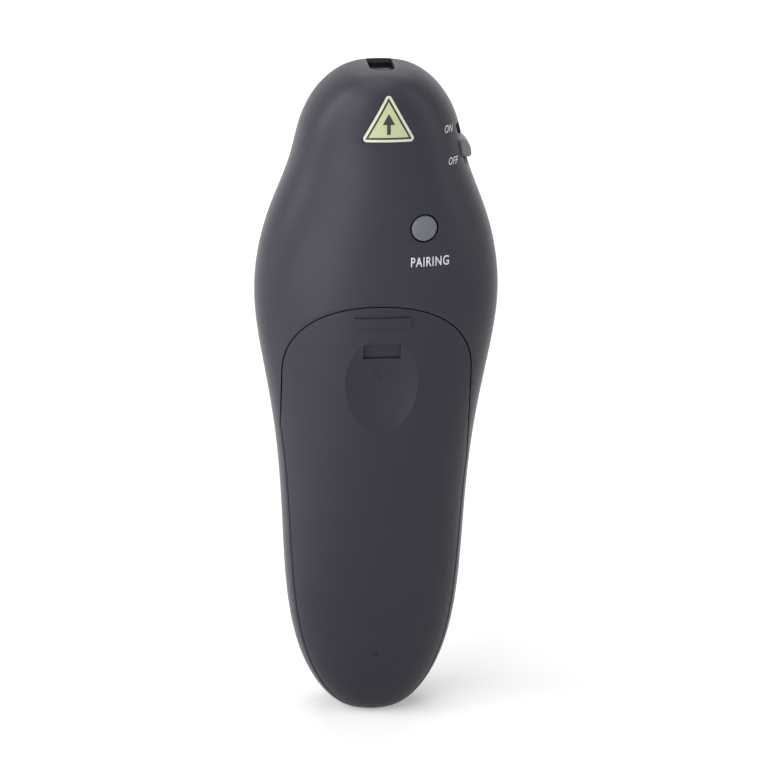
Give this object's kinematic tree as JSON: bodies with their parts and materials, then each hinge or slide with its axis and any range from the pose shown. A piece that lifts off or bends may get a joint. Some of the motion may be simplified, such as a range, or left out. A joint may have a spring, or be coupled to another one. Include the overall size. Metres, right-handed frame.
{
  "type": "presentation remote",
  "caption": "Handheld wireless presentation clicker with sliding battery door, power slide switch, press buttons and a laser in the nose, standing on its tail.",
  "frame": {"origin": "middle of the flat foot at the tail, at the bottom of the housing", "axes": "+Z along the body to the nose with the laser, +Y to the button side, -Y to the underside with the battery door, +X to the side with the power switch"},
  "size_m": [0.0402, 0.0245, 0.112],
  "materials": {
    "housing": "fine spark-eroded grain",
    "door": "fine spark-eroded grain",
    "marker": "satin printed label",
    "tray": "moulded",
    "screw": "zinc plated",
    "cell": "printed sleeve",
    "spring": "nickel plated",
    "contact": "nickel plated",
    "board": "solder mask",
    "chip": "moulded epoxy",
    "crystal": "pressed can",
    "capacitor": "ceramic",
    "switch_black": "moulded",
    "led": "clear epoxy",
    "clear_pipe": "clear acrylic",
    "switch_steel": "folded can",
    "barrel": "turned",
    "lens": "polished",
    "window": "smoked acrylic",
    "grey_knob": "fine grain",
    "grey_key": "fine grain",
    "key": "soft touch",
    "laser_key": "soft touch"
  },
  "bodies": {
    "handset": {"bottom_shell": "housing", "top_shell": "housing", "marker_plate": "marker", "battery_tray": "tray", "tray_screws": "screw", "cell_left": "cell", "cell_right": "cell", "cell_springs": "spring", "bridge_contact": "contact", "positive_contact": "contact", "negative_contact": "contact", "circuit_board": "board", "radio_chip": "chip", "control_chip": "chip", "crystal_can": "crystal", "capacitors": "capacitor", "antenna": "contact", "tact_switches": "switch_black", "pairing_switch": "switch_black", "status_led": "led", "light_pipe": "clear_pipe", "switch_case": "switch_steel", "laser_barrel": "barrel", "laser_lens": "lens", "laser_holder": "tray", "laser_board": "board", "laser_window": "window"},
    "door": {"battery_door": "door"},
    "power_knob": {"switch_knob": "grey_knob", "switch_lever": "switch_black"},
    "next_key": {"next_button": "key"},
    "previous_key": {"previous_button": "key"},
    "laser_key": {"laser_button": "laser_key"},
    "blank_key": {"blank_button": "key"},
    "pairing_key": {"pairing_button": "grey_key"}
  },
  "joints": [
    {"name": "door_slide", "type": "slide", "parent": "handset", "child": "door", "axis": [0, 0, -1], "range_m": [0, 0.0766]},
    {"name": "power_slide", "type": "slide", "parent": "handset", "child": "power_knob", "axis": [0, 0, 1], "range_m": [0, 0.0022]},
    {"name": "next_press", "type": "slide", "parent": "handset", "child": "next_key", "axis": [0, -1, 0], "range_m": [0, 0.0004], "stiffness_N_per_m": 300, "springref_m": -0.0006},
    {"name": "previous_press", "type": "slide", "parent": "handset", "child": "previous_key", "axis": [0, -1, 0], "range_m": [0, 0.0004], "stiffness_N_per_m": 300, "springref_m": -0.0006},
    {"name": "laser_press", "type": "slide", "parent": "handset", "child": "laser_key", "axis": [0, -1, 0], "range_m": [0, 0.0004], "stiffness_N_per_m": 300, "springref_m": -0.0006},
    {"name": "blank_press", "type": "slide", "parent": "handset", "child": "blank_key", "axis": [0, -1, 0], "range_m": [0, 0.0004], "stiffness_N_per_m": 300, "springref_m": -0.0006},
    {"name": "pairing_press", "type": "slide", "parent": "handset", "child": "pairing_key", "axis": [0, 1, 0], "range_m": [0, 0.0004], "stiffness_N_per_m": 300, "springref_m": -0.0006}
  ]
}
